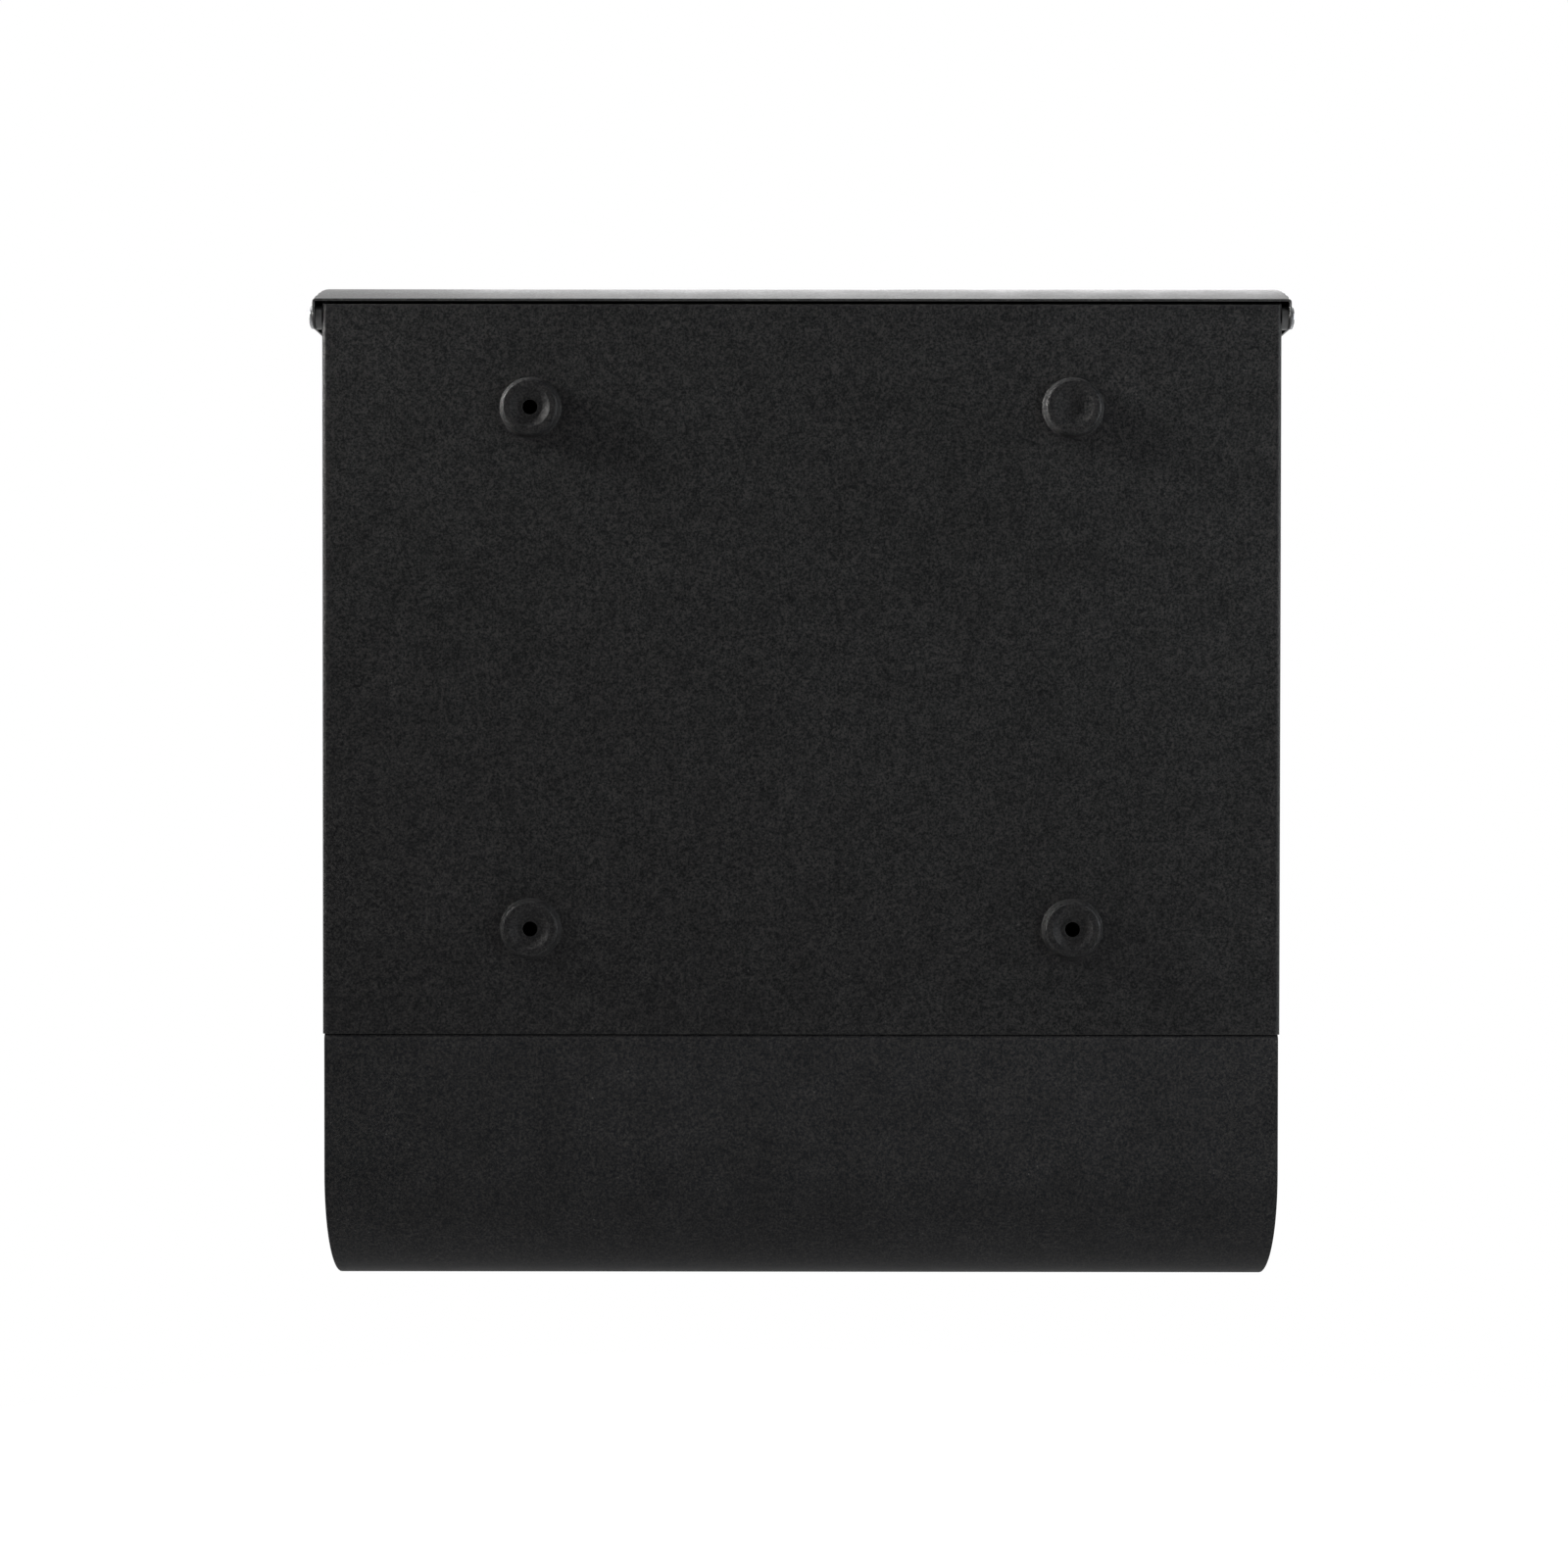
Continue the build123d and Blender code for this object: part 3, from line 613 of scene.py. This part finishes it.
# ---------------------------------------------------------------- placing pieces
def islands(name):
    """World boxes of a CAD node's separate solids."""
    mesh = bmesh.new()
    mesh.from_mesh(nodes[name].data)
    mesh.transform(nodes[name].matrix_world)
    bmesh.ops.remove_doubles(mesh, verts=mesh.verts, dist=WELD)
    seen = set()
    boxes = []
    for start in mesh.verts:
        if start in seen:
            continue
        stack = [start]
        seen.add(start)
        group = []
        while stack:
            here = stack.pop()
            group.append(here.co)
            for line in here.link_edges:
                there = line.other_vert(here)
                if there not in seen:
                    seen.add(there)
                    stack.append(there)
        low = Vector(min(point[axis] for point in group) for axis in range(3))
        high = Vector(max(point[axis] for point in group) for axis in range(3))
        boxes.append((low, high))
    mesh.free()
    return sorted(boxes, key=lambda box: tuple(round(value, 5) for value in box[0]))


def facing(direction, seat):
    """Matrix that turns +Z to a direction and moves the origin to the seat."""
    up = Vector((0, 1, 0)) if abs(direction.z) > 0.9 else Vector((0, 0, 1))
    across = up.cross(direction)
    turn = Matrix((across, direction.cross(across), direction)).transposed()
    return Matrix.Translation(seat) @ turn.to_4x4()


# The way that a node's fasteners point: one for all, or worked out from the middle of each.
FORWARDS = Vector((0, -1, 0))
BACKWARDS = Vector((0, 1, 0))
UPWARDS = Vector((0, 0, 1))
DOWNWARDS = Vector((0, 0, -1))


def sideways(middle):
    return Vector((1 if middle.x > 0 else -1, 0, 0))


def inwards(middle):
    return -sideways(middle)


def seats(node, way, head=0.0):
    """For a node's like fasteners: a matrix at each seat, the two widths and the length below it.

    The head stands on the seat along the way; with no head the seat is the far end of the solid.
    """
    matrices = []
    for low, high in islands(node):
        middle = (low + high) / 2
        direction = way(middle) if callable(way) else way
        axis = max(range(3), key=lambda index: abs(direction[index]))
        sizes = [high[index] - low[index] for index in range(3) if index != axis]
        seat = middle + direction * ((high[axis] - low[axis]) / 2 - head)
        matrices.append(facing(direction, seat))
        length = high[axis] - low[axis] - head
    return matrices, sizes, length


def stand_in(name, node, shape, matrices, sharp=SHARP):
    """Copies a shape to each matrix as one piece that replaces a CAD node."""
    joined = bmesh.new()
    for matrix in matrices:
        copy = shape.copy()
        copy.transform(matrix)
        part = bpy.data.meshes.new("part")
        copy.to_mesh(part)
        copy.free()
        joined.from_mesh(part)
        bpy.data.meshes.remove(part)
    shape.free()
    thing = solid(name, joined)
    thing.data.materials.clear()
    thing.data.materials.append(finishes[slot_of[node]])
    thing.data.shade_smooth()
    thing.data.set_sharp_from_angle(angle=math.radians(sharp))
    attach(thing, body_of[node])
    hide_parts(node)


def screws(name, node, way, head, shank, pitch, thread_share):
    """Threaded screws with a cross recess in the place of plain ones."""
    matrices, sizes, length = seats(node, way, head)
    shape = screw(max(sizes) / 2, head, shank, length, pitch, thread_share)
    stand_in(name, node, shape, matrices)


def nuts(name, node, way, shank, corner=0.0):
    """Chamfered nuts in the place of plain ones, each as high as its solid."""
    matrices, sizes, height = seats(node, way)
    shape = nut(min(sizes), shank + BORE_SLACK, height, corner)
    drop = Matrix.Translation((0.0, 0.0, -height))
    stand_in(name, node, shape, [matrix @ drop for matrix in matrices])


def rivets(name, node, way, make, sharp, head, shank, tail, tail_height):
    """Rivets of one make in the place of plain ones."""
    matrices, sizes, length = seats(node, way, head)
    shape = make(max(sizes) / 2, head, shank, tail, length - tail_height, tail_height)
    stand_in(name, node, shape, matrices, sharp)


screws("pivot_bolts", "lid_pivot_bolts", sideways, *PIVOT_BOLT)
screws("holder_machine_screws", "holder_screws", DOWNWARDS, *HOLDER_SCREW)
screws("cam_pan_screw", "cam_screw", BACKWARDS, *CAM_SCREW)
nuts("pivot_nuts", "lid_pivot_nuts", inwards, PIVOT_SHANK, corner=0.5)
nuts("holder_hex_nuts", "holder_nuts", UPWARDS, HOLDER_SHANK)
nuts("lock_hex_nut", "lock_nut", BACKWARDS, LOCK_BARREL)
rivets("pane_blind_rivets", "pane_rivets", FORWARDS, blind_rivet, BLIND_SHARP, *SHEET_RIVET)
rivets("rail_blind_rivets", "rail_rivets", FORWARDS, blind_rivet, BLIND_SHARP, *SHEET_RIVET)
rivets("floor_blind_rivets", "floor_rivets", sideways, blind_rivet, BLIND_SHARP, *SHEET_RIVET)
rivets("door_set_rivets", "door_pivot_rivets", sideways, set_rivet, SHARP, *DOOR_RIVET)


# ---------------------------------------------------------------- studio
def plain_factor(tree):
    """Two factors: 1 for camera, glossy and transmitted rays, and 1 for glossy rays alone."""
    path = tree.nodes.new("ShaderNodeLightPath")
    factor = path.outputs["Is Camera Ray"]
    for name in ("Is Glossy Ray", "Is Transmission Ray"):
        either = tree.nodes.new("ShaderNodeMath")
        either.operation = "MAXIMUM"
        tree.links.new(factor, either.inputs[0])
        tree.links.new(path.outputs[name], either.inputs[1])
        factor = either.outputs[0]
    return factor, path.outputs["Is Glossy Ray"]


def studio_world():
    """White for the camera and in front of the box, dimmer in the studio behind the camera."""
    world = bpy.data.worlds.new("studio")
    bpy.context.scene.world = world
    world.use_nodes = True
    tree = world.node_tree
    tree.nodes.clear()
    direction = tree.nodes.new("ShaderNodeTexCoord")
    split = tree.nodes.new("ShaderNodeSeparateXYZ")
    tree.links.new(direction.outputs["Generated"], split.inputs["Vector"])

    def sided(levels):
        """A level that goes from the first value to the second towards the dim side."""
        span = tree.nodes.new("ShaderNodeMapRange")
        span.inputs["From Min"].default_value = DIM_SIDE[0]
        span.inputs["From Max"].default_value = DIM_SIDE[1]
        span.inputs["To Min"].default_value = levels[0]
        span.inputs["To Max"].default_value = levels[1]
        tree.links.new(split.outputs["Y"], span.inputs["Value"])
        return span.outputs["Result"]

    def choose(factor, plain, other):
        """The plain value where the factor is 0 and the other where it is 1."""
        span = tree.nodes.new("ShaderNodeMapRange")
        tree.links.new(factor, span.inputs["Value"])
        for value, socket in ((plain, span.inputs["To Min"]), (other, span.inputs["To Max"])):
            if isinstance(value, float):
                socket.default_value = value
            else:
                tree.links.new(value, socket)
        return span.outputs["Result"]

    plain, glossy = plain_factor(tree)
    seen = choose(glossy, 1.0, sided(REFLECTED))
    sky = tree.nodes.new("ShaderNodeBackground")
    sky.inputs["Color"].default_value = (*WHITE, 1.0)
    tree.links.new(choose(plain, sided(AMBIENT), seen), sky.inputs["Strength"])
    out = tree.nodes.new("ShaderNodeOutputWorld")
    tree.links.new(sky.outputs["Background"], out.inputs["Surface"])


def pale_floor():
    """Plain floor that keeps the shadow and fades to the white background."""
    mesh = bmesh.new()
    bmesh.ops.create_circle(mesh, cap_ends=True, segments=FLOOR_SIDES, radius=FLOOR_RADIUS)
    floor = solid("floor", mesh)
    floor.location = (0, (cad_low.y + cad_high.y) / 2, cad_low.z - FLOOR_DROP)
    n = Nodes("pale_floor")
    fine = n.noise(n.coords, scale=60.0, detail=4.0, rough=0.6)
    matt = n.add("ShaderNodeBsdfDiffuse")
    low, high = FLOOR_TONES
    n.put(n.ramp(fine, (0.3, grey(low)), (0.7, grey(high))), matt.inputs["Color"])
    plain = plain_factor(n.tree)[0]
    lift = n.add("ShaderNodeEmission")
    n.put(n.maths("MULTIPLY", plain, FLOOR_LIFT), lift.inputs["Strength"])
    lit = n.add("ShaderNodeAddShader")
    n.put(matt.outputs["BSDF"], lit.inputs[0])
    n.put(lift.outputs["Emission"], lit.inputs[1])
    white = n.add("ShaderNodeEmission")
    distance = n.add("ShaderNodeVectorMath", operation="LENGTH")
    n.put(n.coords, distance.inputs[0])
    fade = n.span(distance.outputs["Value"], *FLOOR_FADE, 0.0, 1.0)
    blend = n.add("ShaderNodeMixShader")
    n.put(n.maths("MULTIPLY", fade, plain), blend.inputs["Fac"])
    n.put(lit.outputs["Shader"], blend.inputs[1])
    n.put(white.outputs["Emission"], blend.inputs[2])
    n.tree.links.new(blend.outputs["Shader"], n.output.inputs["Surface"])
    floor.data.materials.append(n.material)


def lamp(name, place, size, power, colour=WHITE, rise=0.0, spread=180.0):
    """A soft rectangular studio light that points at a height above the middle of the box."""
    data = bpy.data.lights.new(name, "AREA")
    data.shape = "RECTANGLE"
    data.size, data.size_y = size
    data.energy = power
    data.color = colour
    data.spread = math.radians(spread)
    thing = bpy.data.objects.new(name, data)
    bpy.context.scene.collection.objects.link(thing)
    thing.visible_camera = False
    thing.location = place
    thing.rotation_mode = "QUATERNION"
    aim = (cad_low + cad_high) / 2 + Vector((0.0, 0.0, rise))
    thing.rotation_quaternion = (aim - Vector(place)).to_track_quat("-Z", "Y")


def camera():
    """Camera behind the box, turned by yaw, pitch and roll from a level look along -Y."""
    yaw, pitch, roll = (math.radians(angle) for angle in (CAMERA_YAW, CAMERA_PITCH, CAMERA_ROLL))
    level = math.cos(pitch)
    forward = Vector((-math.sin(yaw) * level, -math.cos(yaw) * level, -math.sin(pitch)))
    level_right = Vector((-math.cos(yaw), math.sin(yaw), 0.0))
    level_up = level_right.cross(forward)
    right = level_right * math.cos(roll) + level_up * math.sin(roll)
    up = level_up * math.cos(roll) - level_right * math.sin(roll)
    data = bpy.data.cameras.new("camera")
    data.sensor_width = CAMERA_SENSOR
    data.lens = CAMERA_LENS
    data.clip_start, data.clip_end = CAMERA_CLIP
    thing = bpy.data.objects.new("camera", data)
    bpy.context.scene.collection.objects.link(thing)
    turn = Matrix((right, up, -forward)).transposed()
    thing.matrix_world = Matrix.Translation(CAMERA_PLACE) @ turn.to_4x4()
    bpy.context.scene.camera = thing


studio_world()
pale_floor()
lamp("overhead", (0.25, -0.35, 1.55), (1.8, 1.2), 12.0)
lamp("left_side", (1.5, 0.9, 0.5), (0.8, 1.2), 4.5, WARM)
lamp("left_near", (0.65, 0.30, 0.35), (0.3, 0.4), 1.1, WARM)
lamp("left_glint", (1.0, -0.25, 0.25), (0.5, 0.5), 2.5, FAINTLY_WARM)
lamp("right_side", (-1.5, 0.9, 0.4), (0.8, 1.2), 11.0, COOL)
lamp("right_near", (-0.65, 0.32, 0.15), (0.4, 0.8), 2.9, COOL)
lamp("left_rim", (1.5, 0.11, 0.95), (0.16, 0.5), 7.8, FAINTLY_WARM, rise=0.35, spread=30.0)
lamp("right_rim", (-1.5, 0.11, 0.35), (0.16, 0.5), 1.9, FAINTLY_COOL, rise=0.25, spread=60.0)
lamp("front_fill", (-0.4, -1.9, 0.7), (1.6, 1.4), 15.0)
camera()
bpy.context.scene.view_settings.view_transform = "Standard"
